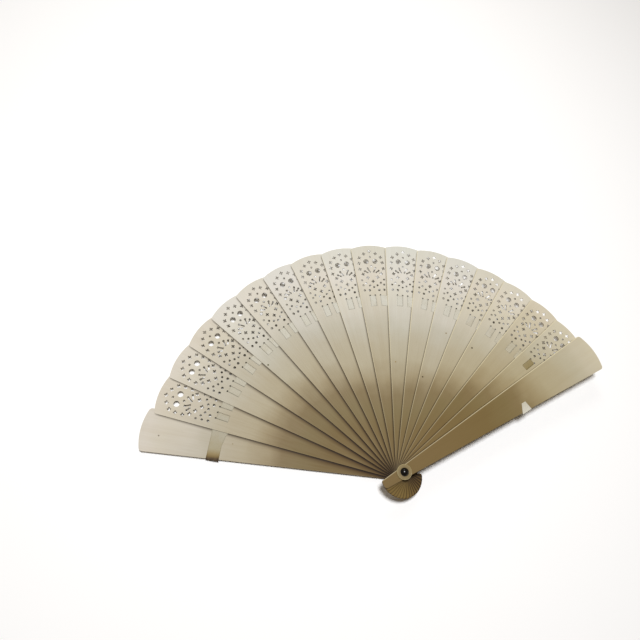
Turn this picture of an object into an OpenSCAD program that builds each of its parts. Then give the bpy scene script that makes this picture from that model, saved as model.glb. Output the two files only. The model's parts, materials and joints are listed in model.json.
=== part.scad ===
// Folding fan of the brise kind: two plain guards and a run of pierced blades, pinned by one rivet
// and held at their spread by one ribbon that is woven through slits in every blade.
// The fan lies flat and fully open. +Z runs up the rivet, +Y up the middle of the fan, and the
// origin is the centre of the rivet's flat back end, which is the lowest face of the fan.
// Each stick is drawn along its own +Y, with the rivet at its origin, and is then turned into place.

/* [Spread] */
// Pierced blades between the two guards
blade_count = 16; // [8:1:20]
// Usual angle between neighbouring sticks when the fan is open, in degrees
open_step = 8.2; // [5:0.1:9]

/* [Blades] */
// From the rivet to the crown of a blade's tip
blade_reach = 204.5; // [165:0.5:250]
// Width of a blade at its tip
blade_tip_w = 34; // [28:0.5:42]
// Radius of the arc that crowns a blade's tip
blade_crown_r = 48; // [36:1:70]
// Rounding of a blade's tip corners
blade_corner_r = 1.2; // [0.5:0.1:2]
// Thickness of a blade
blade_t = 0.6; // [0.5:0.05:1]

/* [Guards] */
// From the rivet to the crown of a guard's tip
guard_reach = 209; // [170:0.5:255]
// Width of a guard at its tip
guard_tip_w = 34.8; // [28:0.2:42]
// Radius of the arc that crowns a guard's tip
guard_crown_r = 46; // [36:1:70]
// Rounding of a guard's tip corners
guard_corner_r = 3; // [1:0.1:4]
// Thickness of a guard
guard_t = 1.7; // [1.4:0.1:2.5]

/* [Rivet end of every stick] */
// Width of a stick where the rivet passes through it
root_w = 9; // [7:0.2:11]
// From the rivet to the end of a stick's tail
tail_reach = 19.5; // [14:0.5:24]
// Radius of the arc that closes the tail
tail_crown_r = 11; // [8:0.5:16]
// Rounding of the tail's corners
tail_corner_r = 1.9; // [0.8:0.1:2]
// How far past the rivet the thicker root pad reaches
pad_reach = 13; // [10:0.5:18]

/* [Rivet] */
// Diameter of the rivet's shank
shank_d = 2.4; // [1.8:0.1:3]
// Diameter of the rivet's domed head
head_d = 6.8; // [5:0.2:8]
// Height of the dome
head_h = 2.1; // [1.5:0.1:3]
// Diameter of the small metal rove that the shank is peened over
rove_d = 5.4; // [4:0.2:7]
// Thickness of the rove
rove_t = 0.6; // [0.4:0.1:1]
// Diameter of the washers
washer_d = 12; // [9:0.2:13]
// Thickness of the washers
washer_t = 1.5; // [1:0.1:2]
// Chamfer round the outer face of a washer
washer_chamfer = 0.45; // [0.2:0.05:0.6]

/* [Ribbon] */
// Width of the ribbon
ribbon_w = 10; // [8:0.5:12]
// Thickness of the ribbon
ribbon_t = 0.1; // [0.08:0.01:0.12]
// From a blade's crown down to the middle of the ribbon
ribbon_drop = 55.3; // [50:0.1:70]
// Width of a slit for the ribbon
slit_w = 0.9; // [0.7:0.1:1.2]
// Distance between neighbouring slits
slit_pitch = 4.8; // [4:0.1:6]
// Diameter of the round hole that ends each slit
slit_eye_d = 1.5; // [1.2:0.1:2]
// From a blade's crown down to the middle of the torn end on the front guard
torn_drop = 85; // [75:1:95]
// How far the back end is folded under the back guard
tuck_w = 8; // [5:0.5:12]

/* [Piercing] */
// From a blade's crown down to the heart of the palmette
palmette_drop = 30; // [28:0.5:34]
// Diameter of the large round holes either side of the crown
moon_d = 4.8; // [3.5:0.1:5.5]
// Diameter of the small drilled dots
dot_d = 1.9; // [1.4:0.1:2.2]
// Diameter of the dots in the lowest row
row_dot_d = 2.2; // [1.6:0.1:2.6]
// Span of a small cross from arm end to arm end
cross_span = 3.4; // [2.6:0.1:3.8]
// Width of a cross's arm
cross_arm = 1.1; // [0.8:0.1:1.3]
// Width of the neck of a palmette petal
neck_w = 1.1; // [0.8:0.1:1.3]

/* [Fits] */
// Free space between neighbouring blades, where the ribbon passes
ribbon_gap = 0.3; // [0.28:0.01:0.4]
// Play between faces that slide on each other at the rivet
play = 0.06; // [0.03:0.01:0.1]
// Radial clearance of the sticks on the shank
shank_clearance = 0.05; // [0.02:0.01:0.1]
// Air between the ribbon and the face that it lies on
ribbon_lift = 0.02; // [0.01:0.01:0.04]
// How far the ribbon's folds stand off the outer edge of a guard
fold_gap = 0.9; // [0.5:0.1:1.5]

/* [Hidden] */
fine = 64;
hole_fn = 24;
arc_steps = 20;
// How far a cutter stands out of the face that it goes through
past = 1;

// How much more than open_step each gap has settled to, in degrees, from the back guard onwards.
// The ribbon has slipped a little in its slits, and its torn end lets the front guard creep back.
settling = [0.3, 0.5, 0.5, 0.2, 0, 0.1, -0.2, 0.2, -0.1, 1, 0.4, -0.1, 0.3, -0.6, 0.2, -0.3, -1.7];

// Height of each layer, from the rove up to the rivet's head
back_washer_z = rove_t;
back_guard_z = back_washer_z + washer_t + play;
first_blade_z = back_guard_z + guard_t + ribbon_gap;
layer = blade_t + ribbon_gap;
front_guard_z = first_blade_z + blade_count * layer;
front_washer_z = front_guard_z + guard_t + play;
head_z = front_washer_z + washer_t;
pad_t = ribbon_gap - play;
bore_r = shank_d / 2 + shank_clearance;

// Places along a blade, measured from the rivet
palmette_v = blade_reach - palmette_drop;
ribbon_v = blade_reach - ribbon_drop;
torn_v = blade_reach - torn_drop;
slit_u = [-slit_pitch, 0, slit_pitch];
slit_len = ribbon_w + 2 * ribbon_lift;

// Right-hand half of the piercing, as [u, v] from the palmette's heart
cross_spots = [[0, 24], [5.5, 21.5], [10, 17.5], [10.9, 12], [10.8, 6], [8.4, 1], [4.6, -2.5], [0, -6.4]];
dot_spots = [[0, 18.3], [0, 8.8], [10.2, -5], [9.6, -10], [6.8, -8], [3.4, -10.4], [0, -12]];
row_spots = [[4.4, -15], [9, -15]];
moon_spot = [4.2, 13.6];
// Petals of the palmette, as [angle off the axis, inner radius, outer radius]
petals = [[28, 3.4, 7.7], [58, 4.7, 7.6]];
petal_inner_d = 1.5;
// Turn of a cross for each millimetre off the blade's middle, in degrees
cross_fanning = 2;

function two_digits(i) = i < 10 ? str("0", i) : str(i);
function blade_name(i) = str("blade_", two_digits(i));
function ribbon_name(i) = str("ribbon_", two_digits(i));
blades = [1:blade_count];

function sum_of(list, from = 0) = from == len(list) ? 0 : list[from] + sum_of(list, from + 1);

// Stick 0 is the back guard and stick blade_count + 1 the front guard. Gap i is the one between
// stick i - 1 and stick i, and spread_to(i) is all the gaps up to stick i.
function gap_angle(i) = open_step + settling[(i - 1) % len(settling)];
function spread_to(i) = i == 0 ? 0 : sum_of([for (gap = [1:i]) gap_angle(gap)]);
function stick_angle(i) = spread_to(blade_count + 1) / 2 - spread_to(i);
function blade_z(i) = first_blade_z + (i - 1) * layer;

// The ribbon is parted in the middle of each gap: at last_u(i) on the stick before gap i, and at
// first_u(i) on the stick after it
function gap_u(i) = 2 * ribbon_v * tan(gap_angle(i) / 2);
function last_u(i) = gap_u(i) / 2 + ribbon_lift;
function first_u(i) = last_u(i) - gap_u(i);

// Points of an arc about a centre, from one angle to another
function arc(centre, r, from, to) =
    [for (i = [0:arc_steps]) let (a = from + (to - from) * i / arc_steps) centre + r * [cos(a), sin(a)]];

// Half width of a stick at v, for a stick that is tip_w wide at its reach
function half_at(v, tip_w, reach) = root_w / 2 + (tip_w - root_w) / 2 * v / reach;

// Right-hand half of a stick's end, as points from the side round to the crown. The side runs out
// from half width h at the rivet with slope k, the crown's arc has radius crown_r and its top lies
// at reach, and a corner of radius corner_r is tangent to both.
function end_points(h, k, reach, crown_r, corner_r) =
    let (
        slant = sqrt(1 + k * k),
        centre_v = reach - crown_r,
        side_u = h + k * centre_v - corner_r * slant,
        inner_r = crown_r - corner_r,
        rise = (-side_u * k + sqrt(inner_r * inner_r * slant * slant - side_u * side_u)) / (slant * slant),
        corner = [side_u + k * rise, centre_v + rise],
        crown_angle = atan2(rise, corner[0])
    )
    concat(
        arc(corner, corner_r, -atan(k), crown_angle),
        arc([0, centre_v], crown_r, crown_angle, 90)
    );

function left_of(points) = [for (i = [len(points) - 1:-1:0]) [-points[i][0], points[i][1]]];
function upside_down(points) = [for (i = [len(points) - 1:-1:0]) [points[i][0], -points[i][1]]];

module stick_outline(tip_w, reach, crown_r, corner_r) {
    k = (tip_w - root_w) / 2 / reach;
    tip = end_points(root_w / 2, k, reach, crown_r, corner_r);
    tail = upside_down(end_points(root_w / 2, -k, tail_reach, tail_crown_r, tail_corner_r));
    right = concat(tail, tip);
    polygon(concat(right, left_of(right)));
}

// A stick's flat blank with the thicker pad round the rivet and the bore through both
module stick_blank(t, tip_w, reach, crown_r, corner_r, pad) {
    difference() {
        union() {
            linear_extrude(t) stick_outline(tip_w, reach, crown_r, corner_r);
            if (pad)
                linear_extrude(t + pad_t) intersection() {
                    stick_outline(tip_w, reach, crown_r, corner_r);
                    translate([-root_w, -tail_reach]) square([2 * root_w, tail_reach + pad_reach]);
                }
        }
        translate([0, 0, -past]) cylinder(r = bore_r, h = t + pad_t + 2 * past, $fn = fine);
    }
}

module both_sides() {
    children();
    mirror([1, 0]) children();
}

// A cross with four straight arms that end round
module cross_hole() {
    for (turn = [0, 90]) rotate(turn) {
        square([cross_span - cross_arm, cross_arm], center = true);
        for (side = [-1, 1]) translate([side * (cross_span - cross_arm) / 2, 0]) circle(d = cross_arm, $fn = hole_fn);
    }
}

// A petal with a round hole at each end of a narrow neck
module petal_hole(inner, outer) {
    translate([-neck_w / 2, inner]) square([neck_w, outer - inner]);
    translate([0, inner]) circle(d = petal_inner_d, $fn = hole_fn);
    translate([0, outer]) circle(d = dot_d, $fn = hole_fn);
}

// Everything that is sawn and drilled through a blade above its slits
module lace() {
    translate([0, palmette_v]) {
        both_sides() {
            for (spot = cross_spots) if (spot[0] > 0) translate(spot) rotate(-cross_fanning * spot[0]) cross_hole();
            for (spot = dot_spots) if (spot[0] > 0) translate(spot) circle(d = dot_d, $fn = hole_fn);
            for (spot = row_spots) translate(spot) circle(d = row_dot_d, $fn = hole_fn);
            translate(moon_spot) circle(d = moon_d, $fn = fine);
            for (petal = petals) rotate(-petal[0]) petal_hole(petal[1], petal[2]);
        }
        for (spot = cross_spots) if (spot[0] == 0) translate(spot) cross_hole();
        for (spot = dot_spots) if (spot[0] == 0) translate(spot) circle(d = dot_d, $fn = hole_fn);
    }
}

// The three slits for the ribbon, each ending in a small round eye towards the tip
module slits() {
    for (u = slit_u) translate([u, ribbon_v]) {
        square([slit_w, slit_len], center = true);
        translate([0, slit_len / 2 + slit_eye_d / 4]) circle(d = slit_eye_d, $fn = hole_fn);
    }
}

module blade() {
    color("#e3dac2") difference() {
        stick_blank(blade_t, blade_tip_w, blade_reach, blade_crown_r, blade_corner_r, true);
        translate([0, 0, -past]) linear_extrude(blade_t + 2 * past) {
            lace();
            slits();
        }
    }
}

module back_guard() {
    color("#ddd3b8") stick_blank(guard_t, guard_tip_w, guard_reach, guard_crown_r, guard_corner_r, true);
}

module front_guard() {
    color("#ddd3b8") stick_blank(guard_t, guard_tip_w, guard_reach, guard_crown_r, guard_corner_r, false);
}

// Shank and domed head in one turned piece, with the shank drawn half way up into the dome. Its
// other end is peened flat, flush with the rove.
module rivet() {
    dome_r = (head_d * head_d / 4 + head_h * head_h) / (2 * head_h);
    color("#15130f") {
        cylinder(d = shank_d, h = head_z + head_h / 2, $fn = fine);
        intersection() {
            translate([0, 0, head_z + head_h - dome_r]) sphere(r = dome_r, $fn = fine);
            translate([0, 0, head_z]) cylinder(d = head_d, h = head_h, $fn = fine);
        }
    }
}

// A washer whose rim is chamfered on its upper face
module washer() {
    r = washer_d / 2;
    color("#cfc6a4") rotate_extrude($fn = fine) polygon([
        [bore_r, 0], [r, 0], [r, washer_t - washer_chamfer], [r - washer_chamfer, washer_t], [bore_r, washer_t]
    ]);
}

module rove() {
    color("#6b5a35") difference() {
        cylinder(d = rove_d, h = rove_t, $fn = fine);
        translate([0, 0, -past]) cylinder(d = shank_d, h = rove_t + 2 * past, $fn = fine);
    }
}

// A flat run of ribbon from u0 to u1, with its lower face at z
module run(u0, u1, z) {
    translate([u0, ribbon_v - ribbon_w / 2, z]) cube([u1 - u0, ribbon_w, ribbon_t]);
}

// The ribbon on blade i: under its left margin, up the first slit, over to the second, down and
// behind to the third, and up over its right margin
module blade_ribbon(i) {
    over = blade_t + ribbon_lift;
    under = -ribbon_lift - ribbon_t;
    half_t = ribbon_t / 2;
    color("#e8e3d4") {
        run(first_u(i), slit_u[0] + half_t, under);
        run(slit_u[0] - half_t, slit_u[1] + half_t, over);
        run(slit_u[1] - half_t, slit_u[2] + half_t, under);
        run(slit_u[2] - half_t, last_u(i + 1), over);
        for (u = slit_u)
            translate([u - half_t, ribbon_v - ribbon_w / 2, under])
                cube([ribbon_t, ribbon_w, over - under + ribbon_t]);
    }
}

// The ribbon's first end lies on the back guard, goes round its outer edge and is tucked under it
module ribbon_back_end() {
    edge_u = half_at(ribbon_v, guard_tip_w, guard_reach) + fold_gap;
    over = guard_t + ribbon_lift;
    under = -ribbon_lift - ribbon_t;
    color("#d8d2bf") {
        run(-edge_u - ribbon_t, last_u(1), over);
        run(-edge_u - ribbon_t, tuck_w - edge_u, under);
        translate([-edge_u - ribbon_t, ribbon_v - ribbon_w / 2, under])
            cube([ribbon_t, ribbon_w, over - under + ribbon_t]);
    }
}

// The ribbon's last end slants under the front guard, comes round its outer edge lower down and
// ends torn to a point on its face
module ribbon_front_end() {
    half_w = ribbon_w / 2;
    start_u = first_u(blade_count + 1);
    edge_u = half_at(torn_v, guard_tip_w, guard_reach) + fold_gap;
    over = guard_t + ribbon_lift;
    under = -ribbon_lift - ribbon_t;
    color("#e8e3d4") {
        translate([0, 0, under]) linear_extrude(ribbon_t) polygon([
            [start_u, ribbon_v + half_w], [start_u, ribbon_v - half_w],
            [edge_u, torn_v - half_w], [edge_u + ribbon_t, torn_v + half_w]
        ]);
        translate([edge_u, torn_v - half_w, under]) cube([ribbon_t, ribbon_w, over - under + ribbon_t]);
        translate([0, 0, over]) linear_extrude(ribbon_t) polygon([
            [edge_u + ribbon_t, torn_v - half_w], [edge_u + ribbon_t, torn_v + half_w],
            [edge_u - tuck_w, torn_v + half_w / 2]
        ]);
    }
}

// Turns stick i to its place in the open fan and lifts it to its layer
module place(i, z) {
    rotate(stick_angle(i)) translate([0, 0, z]) children();
}

place(0, back_guard_z) back_guard();
for (i = blades) place(i, blade_z(i)) blade();
place(blade_count + 1, front_guard_z) front_guard();
rivet();
translate([0, 0, front_washer_z]) washer();  // front_washer
translate([0, 0, back_washer_z]) washer();  // back_washer
rove();
place(0, back_guard_z) ribbon_back_end();
for (i = blades) place(i, blade_z(i)) blade_ribbon(i);
place(blade_count + 1, front_guard_z) ribbon_front_end();
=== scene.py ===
import bmesh
import bpy
import json
import math
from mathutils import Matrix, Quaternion, Vector

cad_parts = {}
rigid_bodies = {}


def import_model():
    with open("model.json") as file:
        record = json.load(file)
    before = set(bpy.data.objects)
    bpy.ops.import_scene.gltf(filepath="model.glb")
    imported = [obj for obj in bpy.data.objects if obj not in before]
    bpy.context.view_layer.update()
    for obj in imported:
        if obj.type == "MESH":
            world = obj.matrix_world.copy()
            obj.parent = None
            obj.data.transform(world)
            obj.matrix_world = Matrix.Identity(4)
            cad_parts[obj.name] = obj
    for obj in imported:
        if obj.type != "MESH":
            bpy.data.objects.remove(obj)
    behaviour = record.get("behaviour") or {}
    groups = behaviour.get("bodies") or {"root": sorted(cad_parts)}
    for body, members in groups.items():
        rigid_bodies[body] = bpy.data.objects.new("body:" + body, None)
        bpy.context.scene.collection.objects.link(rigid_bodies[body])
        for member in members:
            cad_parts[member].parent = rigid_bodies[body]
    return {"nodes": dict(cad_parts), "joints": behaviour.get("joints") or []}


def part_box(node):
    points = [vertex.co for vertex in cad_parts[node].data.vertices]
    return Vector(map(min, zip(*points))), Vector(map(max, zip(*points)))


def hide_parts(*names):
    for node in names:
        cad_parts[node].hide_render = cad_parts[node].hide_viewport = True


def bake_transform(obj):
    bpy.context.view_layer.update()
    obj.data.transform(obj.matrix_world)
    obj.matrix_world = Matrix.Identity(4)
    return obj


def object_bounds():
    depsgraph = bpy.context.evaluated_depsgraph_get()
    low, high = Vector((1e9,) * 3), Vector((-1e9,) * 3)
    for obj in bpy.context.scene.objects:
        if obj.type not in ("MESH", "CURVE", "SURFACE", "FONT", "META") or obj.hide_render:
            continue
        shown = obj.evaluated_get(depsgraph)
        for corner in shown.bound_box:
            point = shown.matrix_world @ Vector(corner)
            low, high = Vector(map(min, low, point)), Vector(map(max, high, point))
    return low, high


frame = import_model()
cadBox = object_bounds()
mm = 0.001
print("frame loaded:", len(frame["nodes"]), "CAD nodes")

# The sticks in order, from the back guard at the left up to the front guard at the right.
bodies = [frame["joints"][0]["parent"]] + [joint["child"] for joint in frame["joints"]]
lastStick = len(bodies) - 1
gaps = [math.radians(joint["range_deg"][1]) for joint in frame["joints"]]     # between neighbouring sticks
stickNodes = ["back_guard"] + [f"blade_{i:02d}" for i in range(1, lastStick)] + ["front_guard"]


def stickAngle(i):
    # turn of stick i away from +Y, anticlockwise
    return sum(gaps) / 2 - sum(gaps[:i])


def fromHex(text):
    channels = [int(text[i:i + 2], 16) / 255 for i in (1, 3, 5)]
    linear = [c / 12.92 if c <= 0.04045 else ((c + 0.055) / 1.055) ** 2.4 for c in channels]
    return (*linear, 1.0)


def addNode(tree, kind, inputs=None, stops=None, **settings):
    node = tree.nodes.new(kind)
    for name, value in settings.items():
        setattr(node, name, value)
    for name, value in (inputs or {}).items():
        if isinstance(value, bpy.types.NodeSocket):
            tree.links.new(value, node.inputs[name])
        else:
            node.inputs[name].default_value = value
    for i, (place, colour) in enumerate(stops or []):
        if i > 1:
            node.color_ramp.elements.new(place)
        node.color_ramp.elements[i].position = place
        node.color_ramp.elements[i].color = fromHex(colour)
    return node


def newMaterial(name):
    material = bpy.data.materials.new(name)
    material.use_nodes = True
    material.node_tree.nodes.clear()
    return material, material.node_tree


view = {
    "eye": (-128.3, -19.3, 452),    # mm
    "target": (-38.2, 140.5, 4),    # mm
    "roll": 19.8,                   # degrees
    "lens": 30.9,                   # mm on a 36 mm sensor
    "nearest": 10,                  # mm, nothing closer is drawn
}

camera = bpy.data.objects.new("camera", bpy.data.cameras.new("camera"))
bpy.context.scene.collection.objects.link(camera)
eye = Vector(view["eye"]) * mm
gaze = Vector(view["target"]) * mm - eye
camera.location = eye
camera.rotation_mode = "QUATERNION"
rolled = Quaternion((0, 0, 1), math.radians(view["roll"]))
camera.rotation_quaternion = gaze.to_track_quat("-Z", "Y") @ rolled
camera.data.lens = view["lens"]
camera.data.clip_start = view["nearest"] * mm
bpy.context.scene.camera = camera
bpy.context.scene.view_settings.view_transform = "Standard"

studio = {
    # places, aims and sizes in mm
    "key": {"place": (-70, 190, 1150), "aim": (0, 110, 0), "size": 260, "watts": 12.6, "colour": "#fcfdff"},
    "rim": {"place": (60, 760, 620), "aim": (0, 110, 0), "size": 320, "watts": 1.0, "colour": "#fffaf2"},
    "world": 0.14,
    "worldColour": "#ffecd2",    # warm walls tint the shade under the fan
    "floorSize": 4000,           # mm
    "floorColour": "#ffffff",
}

for name in ("key", "rim"):
    lamp = studio[name]
    light = bpy.data.objects.new(name, bpy.data.lights.new(name, "AREA"))
    bpy.context.scene.collection.objects.link(light)
    light.data.shape = "DISK"
    light.data.size = lamp["size"] * mm
    light.data.energy = lamp["watts"]
    light.data.color = fromHex(lamp["colour"])[:3]
    light.location = Vector(lamp["place"]) * mm
    light.rotation_mode = "QUATERNION"
    light.rotation_quaternion = (Vector(lamp["aim"]) * mm - light.location).to_track_quat("-Z", "Y")

world = bpy.data.worlds.new("world")
bpy.context.scene.world = world
world.use_nodes = True
world.node_tree.nodes.clear()
sky = addNode(world.node_tree, "ShaderNodeBackground", {
    "Color": fromHex(studio["worldColour"]), "Strength": studio["world"]})
addNode(world.node_tree, "ShaderNodeOutputWorld", {"Surface": sky.outputs[0]})

# Floor: matt white studio board, under the lowest point of the fan
material, tree = newMaterial("white_studio_board")
board = addNode(tree, "ShaderNodeBsdfPrincipled", {
    "Base Color": fromHex(studio["floorColour"]), "Roughness": 0.9, "Specular IOR Level": 0.1})
addNode(tree, "ShaderNodeOutputMaterial", {"Surface": board.outputs[0]})
mesh = bmesh.new()
bmesh.ops.create_grid(mesh, x_segments=1, y_segments=1, size=studio["floorSize"] / 2 * mm)
bmesh.ops.translate(mesh, vec=(0, 0, cadBox[0].z), verts=mesh.verts)
floorMesh = bpy.data.meshes.new("floor")
mesh.to_mesh(floorMesh)
mesh.free()
floor = bpy.data.objects.new("floor", floorMesh)
bpy.context.scene.collection.objects.link(floor)
floor.data.materials.append(material)
print("camera, lights and floor made")


wood = {
    # mm from the rivet to colour: darker towards the rivet, partly browning by the hands that hold it, partly
    # painted shade
    "patinaAndShade": [(-20, "#786644"), (30, "#776643"), (50, "#7d6f4e"), (65, "#837456"), (80, "#9d9176"),
               (95, "#aea690"), (110, "#b2ab98"), (125, "#b9b5a7"), (139, "#c4c0b5"), (158, "#ccc8bc"),
               (175, "#d3cfc7"), (205, "#cecec6")],
    "patinaAndShadeEnds": (-20, 210),    # mm
    "patinaAndShadeWaver": 0.1,          # share of that length by which the mottle shifts it
    "mottle": 22,                # mm
    # outer sticks are darker further out, partly browned by handling, partly painted shade: stick where this
    # starts, and mm more on the guard
    "backDarkReach": (8, 30), "frontDarkReach": (11, 54),
    # and tinted darker towards either guard as painted shade: stick where this starts, and colour on the
    # guard
    "backEndTint": (4, "#f8f4ee"), "frontEndTint": (11, "#f9f3e2"),
    "guardTint": "#ffffff",
    "bladeTints": ["#ffffff", "#fcfaf5", "#fffefb", "#faf7f0", "#fffffd", "#fdfbf6"],
    "figures": {
        # size in mm across and along (the grain about three times as coarse as it is), part of the
        # noise that shows, colour and strength
        "streak": {"size": (5, 150), "shown": (0.42, 0.68), "colour": "#d8c49c", "most": 0.07},
        "grain": {"size": (0.5, 26), "shown": (0.45, 0.75), "colour": "#b8a27a", "most": 0.09},
        "pore": {"size": (0.35, 5), "shown": (0.66, 0.74), "colour": "#8d7650", "most": 0.2},
    },
    "roughness": (0.4, 0.64),
    "specular": 0.12,
    "relief": 0.03,              # mm
}

# A stick's outline, which its dirt, its painted shade and its painted edge highlight follow
outline = {
    "rootHalf": 4.5,             # mm, half width of a stick at the rivet
    "sideSlope": 0.0611,         # mm that half width grows in each mm along
}

# dirt and painted shade on the sticks, all but the front guard
dirtAndShade = {
    "ends": 11,                  # the stick where it is thinnest, counted from the back guard
    "fade": (30, 190), "least": 0.35,    # mm from the rivet over which it weakens to this share
    "tip": (201, 198),           # mm from the rivet, where it ends at the tip of the next stick
    # a blade's tail, which hands never reach to polish
    # darker on a blade's tail behind the rivet, partly grime and partly painted shade where the tails lie
    # stacked
    "tailFade": (2, -8), "tailMost": 0.8, "tailColour": "#735d2b",
    # painted shade on the face below the next stick, seen through its holes, by mm inward of that stick's
    # edge
    "coveredShadeFade": (-0.4, -1.2), "coveredShadeMost": 0.8, "coveredShadeColour": "#1f1004",
    # soft grime with painted shadow cast by the next stick's edge, and the dark crevice beside it, painted
    # shade with some dirt:
    # mm wide at the rivet, mm more in each mm along, and strength, each on the stick with least of it and
    # then how much more on the back guard
    "bands": [
        {"width": (1.2, 5.6), "taper": (0, -0.024), "most": (0.25, 0.6), "colour": "#47300f"},
        {"width": (1.1, 1.4), "taper": (0, -0.006), "most": (0.6, 0.4), "colour": "#1f1004"},
    ],
    "core": 0.1,                 # share of a band's width that is at full strength
    "upper": (0.5, 0.9),         # height of the normal where a face starts to count as upper, and does
}

edges = {
    # walls of holes and side edges show sawn wood: height of the normal where that starts and is full
    "sawn": (0.9, 0.4), "sawnMost": 0.85, "sawnColour": "#5a4220",
    # painted highlight: the left edge of the upper face is painted pale where it would catch the light, most
    # towards the tip and the front guard
    "highlightWidth": (0.7, 0.2),   # mm
    "highlightMost": 0.75, "highlightColour": "#ded3b0",
    "highlightSticks": (5, 11), "highlightLeast": 0.1,
    "highlightFade": (10, 120),     # mm from the rivet
    "bladeRoot": 0.12, "guardRoot": 0.6,
}

markCore = 0.4                   # share of a mark's radius that is at full strength
# Small marks of age: stick, mm across and along it, radius in mm, colour
marks = [
    (12, -6.5, 82.0, 0.9, "#3f3018"), (14, -8.1, 125.9, 1.0, "#3a2c17"), (10, -5.8, 91.9, 0.8, "#8d7446"),
    (12, 2.2, 128.2, 0.8, "#7a6238"), (4, -11.1, 138.5, 1.0, "#4d4a26"), (0, -3.2, 194.0, 0.7, "#54422a"),
    (0, 0.5, 136.0, 0.6, "#8a7a58"),
]


def darkReach(i):
    # mm by which the dark end reaches further out than on the middle blades: partly handling, partly painted
    # shade
    back, backMost = wood["backDarkReach"]
    front, frontMost = wood["frontDarkReach"]
    return backMost * max(0, 1 - (i / back) ** 2) + frontMost * max(0, (i - front) / (lastStick - front)) ** 2


def endTint(i):
    # share and colour of the painted shade that tints stick i darker towards the guards
    back, backTint = wood["backEndTint"]
    front, frontTint = wood["frontEndTint"]
    if i < back:
        return 1 - i / back, backTint
    return max(0, (i - front) / (lastStick - front)), frontTint


def inStick(tree, coords, i):
    # place in the frame of stick i, in mm
    return addNode(tree, "ShaderNodeMapping", {
        "Vector": coords.outputs["Object"], "Rotation": (0, 0, -stickAngle(i)), "Scale": (1 / mm,) * 3,
    }).outputs[0]


def sideOf(tree, place):
    # half width of a stick at this place along it, in mm
    return addNode(tree, "ShaderNodeMath", {
        0: place.outputs["Y"], 1: outline["sideSlope"], 2: outline["rootHalf"],
    }, operation="MULTIPLY_ADD").outputs[0]


def patinaAndShadeColour(tree, own, place, shift, i):
    blotch = addNode(tree, "ShaderNodeTexNoise", {
        "Vector": addNode(tree, "ShaderNodeMapping", {
            "Vector": own, "Location": shift, "Scale": (1 / wood["mottle"],) * 3}).outputs[0],
        "Scale": 1.0, "Detail": 3.0,
    })
    # painted shade with real browning: the colour along the stick darkens towards the rivet
    low, high = wood["patinaAndShadeEnds"]
    waver = wood["patinaAndShadeWaver"]
    reach = addNode(tree, "ShaderNodeMapRange", {
        "Value": place.outputs["Y"], "From Min": low + darkReach(i), "From Max": high + darkReach(i),
        "To Min": -waver / 2, "To Max": 1 - waver / 2})
    wander = addNode(tree, "ShaderNodeMath", {
        0: blotch.outputs["Fac"], 1: waver, 2: reach.outputs[0]}, operation="MULTIPLY_ADD")
    stops = [((along - low) / (high - low), colour) for along, colour in wood["patinaAndShade"]]
    return addNode(tree, "ShaderNodeValToRGB", {"Fac": wander.outputs[0]}, stops).outputs["Color"]


def dirtAndShadeLayers(tree, coords, place, normal, i):
    # dirt and painted shade on the tail, painted shade on the upper face below the next stick, and grime with
    # painted shadow along that stick's edge
    start, end = dirtAndShade["tailFade"]
    tail = addNode(tree, "ShaderNodeMapRange", {
        "Value": place.outputs["Y"], "From Min": start, "From Max": end, "To Max": dirtAndShade["tailMost"]})
    layers = [(tail.outputs[0], dirtAndShade["tailColour"], "MIX")]

    beside = addNode(tree, "ShaderNodeSeparateXYZ", {"Vector": inStick(tree, coords, i + 1)})
    out = addNode(tree, "ShaderNodeMath", {0: beside.outputs["X"]}, operation="ABSOLUTE")
    past = addNode(tree, "ShaderNodeMath", {
        0: out.outputs[0], 1: sideOf(tree, beside)}, operation="SUBTRACT")
    gap = addNode(tree, "ShaderNodeMath", {0: past.outputs[0]}, operation="ABSOLUTE")
    start, end = dirtAndShade["fade"]
    shown = addNode(tree, "ShaderNodeMapRange", {
        "Value": beside.outputs["Y"], "From Min": start, "From Max": end,
        "To Min": 1.0, "To Max": dirtAndShade["least"]})
    start, end = dirtAndShade["upper"]
    upper = addNode(tree, "ShaderNodeMapRange", {
        "Value": normal.outputs["Z"], "From Min": start, "From Max": end, "To Max": shown.outputs[0]})
    start, end = dirtAndShade["tip"]
    strength = addNode(tree, "ShaderNodeMapRange", {
        "Value": beside.outputs["Y"], "From Min": start, "From Max": end,
        "To Max": upper.outputs[0]}).outputs[0]

    # painted shade under the next stick
    start, end = dirtAndShade["coveredShadeFade"]
    coveredShade = addNode(tree, "ShaderNodeMapRange", {
        "Value": past.outputs[0], "From Min": start, "From Max": end, "To Max": dirtAndShade["coveredShadeMost"]})
    amount = addNode(tree, "ShaderNodeMath", {0: coveredShade.outputs[0], 1: strength}, operation="MULTIPLY")
    layers.append((amount.outputs[0], dirtAndShade["coveredShadeColour"], "MIX"))
    # bands of grime and painted shadow along the next stick's edge, most on the sticks towards the back guard
    grimeAndShadeShare = max(0, 1 - i / dirtAndShade["ends"])
    for band in dirtAndShade["bands"]:
        width, taper, most = (band[name][0] + band[name][1] * grimeAndShadeShare for name in ("width", "taper", "most"))
        spread = addNode(tree, "ShaderNodeMath", {
            0: beside.outputs["Y"], 1: taper, 2: width}, operation="MULTIPLY_ADD")
        share = addNode(tree, "ShaderNodeMath", {
            0: gap.outputs[0], 1: spread.outputs[0]}, operation="DIVIDE")
        near = addNode(tree, "ShaderNodeMapRange", {
            "Value": share.outputs[0], "From Min": 1.0, "From Max": dirtAndShade["core"], "To Max": most},
            interpolation_type="SMOOTHSTEP")
        amount = addNode(tree, "ShaderNodeMath", {0: near.outputs[0], 1: strength}, operation="MULTIPLY")
        layers.append((amount.outputs[0], band["colour"], "MIX"))
    return layers


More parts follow.
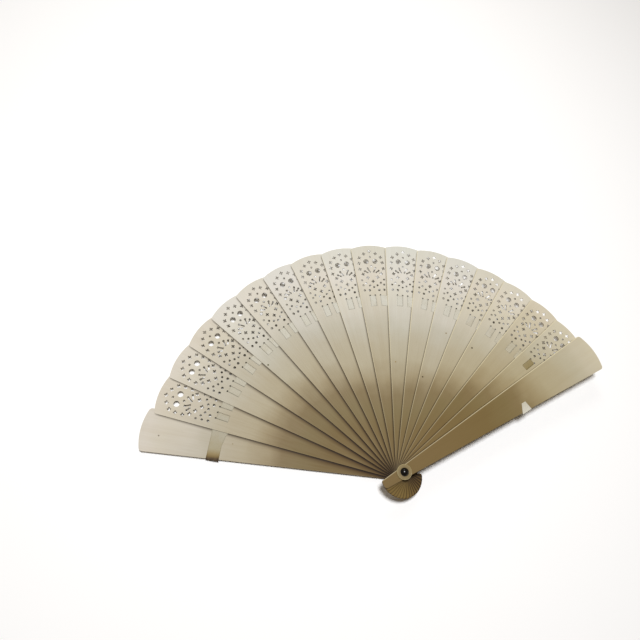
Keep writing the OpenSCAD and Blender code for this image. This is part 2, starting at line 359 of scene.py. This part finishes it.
def edgeLayers(tree, place, normal, i):
    upright = addNode(tree, "ShaderNodeMath", {0: normal.outputs["Z"]}, operation="ABSOLUTE")
    start, end = edges["sawn"]
    sawn = addNode(tree, "ShaderNodeMapRange", {
        "Value": upright.outputs[0], "From Min": start, "From Max": end, "To Max": edges["sawnMost"]})

    # painted highlight on the left edge, strongest on the sticks towards the front guard
    first, last = edges["highlightSticks"]
    highlightShare = min(1, max(edges["highlightLeast"], (i - first) / (last - first)))
    start, end = edges["highlightWidth"]
    inward = addNode(tree, "ShaderNodeMath", {
        0: sideOf(tree, place), 1: place.outputs["X"]}, operation="ADD")
    edge = addNode(tree, "ShaderNodeMapRange", {
        "Value": inward.outputs[0], "From Min": start, "From Max": end,
        "To Max": edges["highlightMost"] * highlightShare})
    start, end = edges["highlightFade"]
    paintedHighlight = addNode(tree, "ShaderNodeMapRange", {
        "Value": place.outputs["Y"], "From Min": start, "From Max": end,
        "To Min": edges["bladeRoot"] if i < lastStick else edges["guardRoot"]})
    amount = addNode(tree, "ShaderNodeMath", {
        0: edge.outputs[0], 1: paintedHighlight.outputs[0]}, operation="MULTIPLY")
    return [(sawn.outputs[0], edges["sawnColour"], "MIX"), (amount.outputs[0], edges["highlightColour"], "MIX")]


def sandalwood(i, tint):
    # Sandalwood, planed thin, fret-sawn and polished by hand: pale satin face with fine straight grain down
    # each stick, browner in every sawn hole and where it is held, also as painted shade there, beside the
    # next stick and towards the guards, with a painted highlight on its left edge.
    material, tree = newMaterial(f"sandalwood_planed_{i:02d}")
    coords = addNode(tree, "ShaderNodeTexCoord")
    own = inStick(tree, coords, i)
    place = addNode(tree, "ShaderNodeSeparateXYZ", {"Vector": own})
    normal = addNode(tree, "ShaderNodeSeparateXYZ", {"Vector": coords.outputs["Normal"]})
    shift = (i * 37.0, i * 11.0, 0)      # so that no two sticks share a figure
    layers = []                          # amount, colour and blend of each thing over the bare wood

    figures = {}
    for name, figure in wood["figures"].items():
        across, along = figure["size"]
        stretched = addNode(tree, "ShaderNodeMapping", {
            "Vector": own, "Location": shift, "Scale": (1 / across, 1 / along, 1 / across)})
        figures[name] = addNode(tree, "ShaderNodeTexNoise", {
            "Vector": stretched.outputs[0], "Scale": 1.0, "Detail": 3.0, "Roughness": 0.55}).outputs["Fac"]
        start, end = figure["shown"]
        amount = addNode(tree, "ShaderNodeMapRange", {
            "Value": figures[name], "From Min": start, "From Max": end, "To Max": figure["most"]})
        layers.append((amount.outputs[0], figure["colour"], "MULTIPLY"))
    # the second layer is painted shade, tinting the sticks towards the guards darker
    layers += [(1.0, tint, "MULTIPLY"), (*endTint(i), "MULTIPLY")]
    if i < lastStick:
        layers += dirtAndShadeLayers(tree, coords, place, normal, i)

    flat = addNode(tree, "ShaderNodeCombineXYZ", {"X": place.outputs["X"], "Y": place.outputs["Y"]})
    for stick, across, along, size, shade in marks:
        if stick == i:
            away = addNode(tree, "ShaderNodeVectorMath", {
                0: flat.outputs[0], 1: (across, along, 0)}, operation="DISTANCE")
            near = addNode(tree, "ShaderNodeMapRange", {
                "Value": away.outputs["Value"], "From Min": size, "From Max": size * markCore})
            layers.append((near.outputs[0], shade, "MIX"))
    layers += edgeLayers(tree, place, normal, i)

    colour = patinaAndShadeColour(tree, own, place, shift, i)
    for amount, shade, blend in layers:
        colour = addNode(tree, "ShaderNodeMix", {0: amount, 6: colour, 7: fromHex(shade)},
                         data_type="RGBA", blend_type=blend).outputs[2]
    smoothest, roughest = wood["roughness"]
    gloss = addNode(tree, "ShaderNodeMapRange", {
        "Value": figures["grain"], "To Min": smoothest, "To Max": roughest})
    relief = addNode(tree, "ShaderNodeBump", {
        "Height": figures["grain"], "Strength": 0.2, "Distance": wood["relief"] * mm})
    face = addNode(tree, "ShaderNodeBsdfPrincipled", {
        "Base Color": colour, "Roughness": gloss.outputs[0], "Normal": relief.outputs[0],
        "IOR": 1.5, "Specular IOR Level": wood["specular"]})
    addNode(tree, "ShaderNodeOutputMaterial", {"Surface": face.outputs[0]})
    return material


def dress(node, material):
    piece = frame["nodes"][node]
    piece.data.materials.clear()
    piece.data.materials.append(material)


for i, node in enumerate(stickNodes):
    isGuard = i in (0, lastStick)
    tint = wood["guardTint"] if isGuard else wood["bladeTints"][i % len(wood["bladeTints"])]
    dress(node, sandalwood(i, tint))
print("sticks dressed")


steel = {
    "blacks": [(0.0, "#0a0907"), (0.62, "#0c0a08"), (0.76, "#33271a")],    # the last where it is worn
    "wear": 0.7,                 # mm
    "roughness": (0.12, 0.38),
    "relief": 0.02,              # mm
}


def japannedSteel():
    # Steel, turned and japanned: deep black gloss that has dulled a little and worn brown in specks.
    material, tree = newMaterial("japanned_steel_turned")
    coords = addNode(tree, "ShaderNodeTexCoord")
    wear = addNode(tree, "ShaderNodeTexNoise", {
        "Vector": coords.outputs["Object"], "Scale": 1 / (steel["wear"] * mm), "Detail": 4.0})
    colour = addNode(tree, "ShaderNodeValToRGB", {"Fac": wear.outputs["Fac"]}, steel["blacks"])
    smoothest, roughest = steel["roughness"]
    gloss = addNode(tree, "ShaderNodeMapRange", {
        "Value": wear.outputs["Fac"], "To Min": smoothest, "To Max": roughest})
    relief = addNode(tree, "ShaderNodeBump", {
        "Height": wear.outputs["Fac"], "Strength": 0.2, "Distance": steel["relief"] * mm})
    face = addNode(tree, "ShaderNodeBsdfPrincipled", {
        "Base Color": colour.outputs["Color"], "Roughness": gloss.outputs[0], "Normal": relief.outputs[0],
        "IOR": 1.45, "Specular IOR Level": 0.35, "Coat Weight": 0.15, "Coat Roughness": 0.1})
    addNode(tree, "ShaderNodeOutputMaterial", {"Surface": face.outputs[0]})
    return material


washers = {
    # dark, partly from handling and partly painted shade round the rivet
    "rings": [(0.0, "#786741"), (1.0, "#83724a")], "ringsPerMm": 0.16,
    # dirt: mm, part of the noise that shows, strength and colour
    "grime": 3, "grimeShown": (0.4, 0.75), "grimeMost": 0.5, "grimeColour": "#66552f",
    # painted highlight: the chamfer of the rim painted pale where it catches the light: height of the normal
    # where that starts and is full
    "paintedHighlight": (0.95, 0.75), "highlightMost": 0.7, "highlightColour": "#b6a97f",
}


def turnedSandalwood():
    # Sandalwood, turned on a lathe and waxed: rings round the rivet, dark partly from handling and partly as
    # painted shade, with a painted highlight on the chamfer of the rim.
    material, tree = newMaterial("sandalwood_turned")
    coords = addNode(tree, "ShaderNodeTexCoord")
    rings = addNode(tree, "ShaderNodeTexWave", {
        "Vector": coords.outputs["Object"], "Scale": washers["ringsPerMm"] / mm, "Distortion": 2.0,
        "Detail": 3.0}, wave_type="RINGS", rings_direction="Z")
    grime = addNode(tree, "ShaderNodeTexNoise", {
        "Vector": coords.outputs["Object"], "Scale": 1 / (washers["grime"] * mm), "Detail": 4.0})
    colour = addNode(tree, "ShaderNodeValToRGB", {"Fac": rings.outputs["Fac"]}, washers["rings"])
    normal = addNode(tree, "ShaderNodeSeparateXYZ", {"Vector": coords.outputs["Normal"]})
    upright = addNode(tree, "ShaderNodeMath", {0: normal.outputs["Z"]}, operation="ABSOLUTE")
    colour = colour.outputs["Color"]
    for source, (start, end), most, shade in (
        (grime.outputs["Fac"], washers["grimeShown"], washers["grimeMost"], washers["grimeColour"]),
        (upright.outputs[0], washers["paintedHighlight"], washers["highlightMost"], washers["highlightColour"]),
    ):
        amount = addNode(tree, "ShaderNodeMapRange", {
            "Value": source, "From Min": start, "From Max": end, "To Max": most})
        colour = addNode(tree, "ShaderNodeMix", {0: amount.outputs[0], 6: colour, 7: fromHex(shade)},
                         data_type="RGBA").outputs[2]
    face = addNode(tree, "ShaderNodeBsdfPrincipled", {
        "Base Color": colour, "Roughness": 0.4, "IOR": 1.5, "Specular IOR Level": 0.25})
    addNode(tree, "ShaderNodeOutputMaterial", {"Surface": face.outputs[0]})
    return material


brass = {
    "tarnish": [(0.35, "#a98a4c"), (0.7, "#5b4325")],    # bare metal, and brown patches
    "patches": 1.4,              # mm
    "roughness": (0.25, 0.6),
}


def tarnishedBrass():
    # Brass, stamped and left bare: dull yellow with brown tarnish in patches.
    material, tree = newMaterial("brass_stamped")
    coords = addNode(tree, "ShaderNodeTexCoord")
    patches = addNode(tree, "ShaderNodeTexNoise", {
        "Vector": coords.outputs["Object"], "Scale": 1 / (brass["patches"] * mm), "Detail": 5.0})
    colour = addNode(tree, "ShaderNodeValToRGB", {"Fac": patches.outputs["Fac"]}, brass["tarnish"])
    smoothest, roughest = brass["roughness"]
    gloss = addNode(tree, "ShaderNodeMapRange", {
        "Value": patches.outputs["Fac"], "To Min": smoothest, "To Max": roughest})
    face = addNode(tree, "ShaderNodeBsdfPrincipled", {
        "Base Color": colour.outputs["Color"], "Metallic": 1.0, "Roughness": gloss.outputs[0]})
    addNode(tree, "ShaderNodeOutputMaterial", {"Surface": face.outputs[0]})
    return material


dress("rivet", japannedSteel())
dress("rove", tarnishedBrass())
washerWood = turnedSandalwood()
for node in ("front_washer", "back_washer"):
    dress(node, washerWood)
print("rivet, washers and rove dressed")


ribbon = {
    "width": 10.0,               # mm
    "thickness": 0.1,            # mm
    "lift": 0.02,                # mm of air between ribbon and wood
    "slitPitch": 4.8,            # mm between slits
    "stepAlong": 0.5,            # mm between lines of the mesh
    "partsAcross": 16,
    "uvUnit": 10,                # mm of ribbon in one unit of its UV map
    "leafStart": 150,            # mm from the rivet, beyond all that is thicker than a stick's leaf
    "tuck": 8.0,                 # mm folded under the back guard
    # mm, half of what the loosened weave has spread, and how many pitches along the guard it is full
    "flare": 1.6, "flareFull": 1.7,
    # the last end is torn: mm long on the front guard, mm further out at its point, and width left there
    "tornLength": 8, "tornShift": 2, "tornLeft": 0.4,
}

silk = {
    "thread": 0.45,              # mm between threads, twice as coarse as the real weave so that it shows
    "weave": [(0.0, "#cfccc4"), (0.35, "#edebe4"), (1.0, "#ffffff")],    # from between threads to their tops
    # degrees round the rivet, from the right, to colour: both ends are soiled, the back one most
    "soiling": [(14, "#dedbd0"), (20, "#c9c3b0"), (26, "#98895f"), (28.6, "#9f916c"), (31, "#c3bca6"),
                (45, "#cdc8ba"), (62, "#d6d4ca"), (90, "#d9d8cf"), (130, "#d1cec1"), (148, "#c2bdac"),
                (158, "#b8b2a0"), (162.5, "#b0a88e"), (164.2, "#917a48"), (165.2, "#3a2308")],
    # patches of dirt: mm, part of the noise that shows, strength and colour
    "patches": 9, "patchesShown": (0.5, 0.8), "patchesMost": 0.3, "patchColour": "#9c8a60",
    "relief": 0.06,              # mm
}


def ownFrame(node, i):
    # lowest and highest corner of a CAD node in the frame of stick i, in mm
    back = Quaternion((0, 0, 1), -stickAngle(i))
    points = [back @ vertex.co / mm for vertex in frame["nodes"][node].data.vertices]
    return [Vector(pick(p[axis] for p in points) for axis in range(3)) for pick in (min, max)]


def heights(i):
    # height of the lower and the upper face of stick i where the ribbon crosses it, in mm
    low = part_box(stickNodes[i])[0].z / mm
    leaf = [vertex.co.z / mm for vertex in frame["nodes"][stickNodes[i]].data.vertices
            if math.hypot(vertex.co.x, vertex.co.y) > ribbon["leafStart"] * mm]
    return low, max(leaf)


ribbonMiddle = sum(corner.y for corner in ownFrame("ribbon_01", 1)) / 2      # mm from the rivet


def toFan(i, x, yLow, yHigh, z, share):
    # a point across the ribbon, given in mm in the frame of stick i, as metres in the fan's frame
    point = Vector((x, yLow + (yHigh - yLow) * share, z)) * mm
    return Quaternion((0, 0, 1), stickAngle(i)) @ point


def ribbonPiece(name, stations, replaced, material):
    # a strip of cloth through the stations, given a thickness, in place of the CAD nodes in replaced, which
    # it hides
    across = ribbon["partsAcross"]
    lines = []
    lengths = [0.0]                      # mm along the strip's middle
    for s, (before, after) in enumerate(zip(stations, stations[1:])):
        gap = math.dist(toFan(*before, 0.5), toFan(*after, 0.5)) / mm
        parts = max(1, round(gap / ribbon["stepAlong"]))
        for j in range(parts + (s == len(stations) - 2)):
            mix = j / parts
            lines.append([toFan(*before, k / across).lerp(toFan(*after, k / across), mix)
                          for k in range(across + 1)])
    for line, following in zip(lines, lines[1:]):
        lengths.append(lengths[-1] + (following[across // 2] - line[across // 2]).length / mm)

    mesh = bmesh.new()
    uvLayer = mesh.loops.layers.uv.new("weave")
    grid = [[mesh.verts.new(point) for point in line] for line in lines]
    place = {}
    for a, row in enumerate(grid):
        for b, vertex in enumerate(row):
            place[vertex] = (
                lengths[a] / ribbon["uvUnit"], b / across * ribbon["width"] / ribbon["uvUnit"])
    for row, following in zip(grid, grid[1:]):
        for b in range(across):
            face = mesh.faces.new((row[b], following[b], following[b + 1], row[b + 1]))
            face.smooth = True
            for loop in face.loops:
                loop[uvLayer].uv = place[loop.vert]
    # the torn end takes less cloth than its full rectangle
    cut = sum(face.calc_area() for face in mesh.faces)
    data = bpy.data.meshes.new(name)
    mesh.to_mesh(data)
    mesh.free()
    piece = bpy.data.objects.new(name, data)
    bpy.context.scene.collection.objects.link(piece)
    data.materials.append(material)
    solid = piece.modifiers.new("thickness", "SOLIDIFY")
    solid.thickness = ribbon["thickness"] * mm
    solid.offset = 0
    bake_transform(piece)
    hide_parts(*replaced)


def wovenRibbon():
    # Silk ribbon, plain woven and unstarched: off-white threads that cross at right angles, greyer
    # between them, with brown dirt where it was handled.
    material, tree = newMaterial("silk_ribbon_plain_woven")
    weave = addNode(tree, "ShaderNodeUVMap", uv_map="weave")
    split = addNode(tree, "ShaderNodeSeparateXYZ", {"Vector": weave.outputs["UV"]})
    waves = []
    for axis in ("X", "Y"):
        turns = addNode(tree, "ShaderNodeMath", {
            0: split.outputs[axis], 1: math.pi * ribbon["uvUnit"] / silk["thread"]}, operation="MULTIPLY")
        waves.append(addNode(tree, "ShaderNodeMath", {0: turns.outputs[0]}, operation="SINE").outputs[0])
    crossing = addNode(tree, "ShaderNodeMath", {0: waves[0], 1: waves[1]}, operation="MULTIPLY")
    height = addNode(tree, "ShaderNodeMath", {0: crossing.outputs[0]}, operation="ABSOLUTE")
    threads = addNode(tree, "ShaderNodeValToRGB", {"Fac": height.outputs[0]}, silk["weave"])
    coords = addNode(tree, "ShaderNodeTexCoord")
    along = addNode(tree, "ShaderNodeSeparateXYZ", {"Vector": coords.outputs["Object"]})
    turned = addNode(tree, "ShaderNodeMath", {
        0: along.outputs["Y"], 1: along.outputs["X"]}, operation="ARCTAN2")
    halfTurns = addNode(tree, "ShaderNodeMath", {0: turned.outputs[0], 1: math.pi}, operation="DIVIDE")
    stops = [(turn / 180, shade) for turn, shade in silk["soiling"]]
    age = addNode(tree, "ShaderNodeValToRGB", {"Fac": halfTurns.outputs[0]}, stops)
    colour = addNode(tree, "ShaderNodeMix", {
        0: 1.0, 6: threads.outputs["Color"], 7: age.outputs["Color"]},
        data_type="RGBA", blend_type="MULTIPLY").outputs[2]
    soil = addNode(tree, "ShaderNodeTexNoise", {
        "Vector": coords.outputs["Object"], "Scale": 1 / (silk["patches"] * mm), "Detail": 4.0})
    start, end = silk["patchesShown"]
    dirty = addNode(tree, "ShaderNodeMapRange", {
        "Value": soil.outputs["Fac"], "From Min": start, "From Max": end, "To Max": silk["patchesMost"]})
    colour = addNode(tree, "ShaderNodeMix", {
        0: dirty.outputs[0], 6: colour, 7: fromHex(silk["patchColour"])}, data_type="RGBA").outputs[2]
    relief = addNode(tree, "ShaderNodeBump", {
        "Height": height.outputs[0], "Strength": 0.6, "Distance": silk["relief"] * mm})
    face = addNode(tree, "ShaderNodeBsdfPrincipled", {
        "Base Color": colour, "Roughness": 0.55, "Normal": relief.outputs[0], "Sheen Weight": 0.2,
        "Sheen Roughness": 0.4, "Specular IOR Level": 0.2})
    addNode(tree, "ShaderNodeOutputMaterial", {"Surface": face.outputs[0]})
    return material


ribbonSilk = wovenRibbon()
halfWidth = ribbon["width"] / 2
pitch = ribbon["slitPitch"]


def station(i, x, level, middle=ribbonMiddle, half=halfWidth):
    # where the ribbon passes x mm across stick i, "under" or "over" it; z is the ribbon's middle plane
    low, high = heights(i)
    away = ribbon["lift"] + ribbon["thickness"] / 2
    z = low - away if level == "under" else high + away
    return (i, x, middle - half, middle + half, z)


for i in range(1, lastStick - 1):
    stations = [
        station(i, pitch / 2, "under"), station(i, pitch, "under"), station(i, pitch, "over"),
        station(i + 1, -pitch, "under"), station(i + 1, -pitch, "over"),
        station(i + 1, 0, "over"), station(i + 1, 0, "under"), station(i + 1, pitch / 2, "under"),
    ]
    ribbonPiece(f"ribbon_span_{i:02d}", stations, [f"ribbon_{i:02d}"],
                ribbonSilk)

flare = ribbon["flare"]
edge = ownFrame("ribbon_back_end", 0)[0].x + ribbon["thickness"] / 2
stations = [
    station(0, edge + ribbon["tuck"], "under"), station(0, edge, "under"), station(0, edge, "over"),
    station(0, -pitch / 2, "over"),
    station(0, pitch, "over", ribbonMiddle - flare / 2, halfWidth + flare / 2),
    station(0, ribbon["flareFull"] * pitch, "over", ribbonMiddle - flare, halfWidth + flare),
    station(1, -pitch, "under"), station(1, -pitch, "over"),
    station(1, 0, "over"), station(1, 0, "under"), station(1, pitch / 2, "under"),
]
ribbonPiece("ribbon_span_00", stations, ["ribbon_back_end"], ribbonSilk)

tornLow, tornHigh = ownFrame("ribbon_front_end", lastStick)
tornEdge = tornHigh.x - ribbon["thickness"] / 2
tornMiddle = tornLow.y + halfWidth
stations = [
    station(lastStick - 1, pitch / 2, "under"), station(lastStick - 1, pitch, "under"),
    station(lastStick - 1, pitch, "over"), station(lastStick, -pitch, "under"),
    station(lastStick, tornEdge, "under", tornMiddle), station(lastStick, tornEdge, "over", tornMiddle),
    station(lastStick, tornEdge - ribbon["tornLength"], "over", tornMiddle + ribbon["tornShift"],
            halfWidth * ribbon["tornLeft"]),
]
ribbonPiece(f"ribbon_span_{lastStick - 1:02d}", stations, [f"ribbon_{lastStick - 1:02d}", "ribbon_front_end"],
            ribbonSilk)
print("ribbon made")
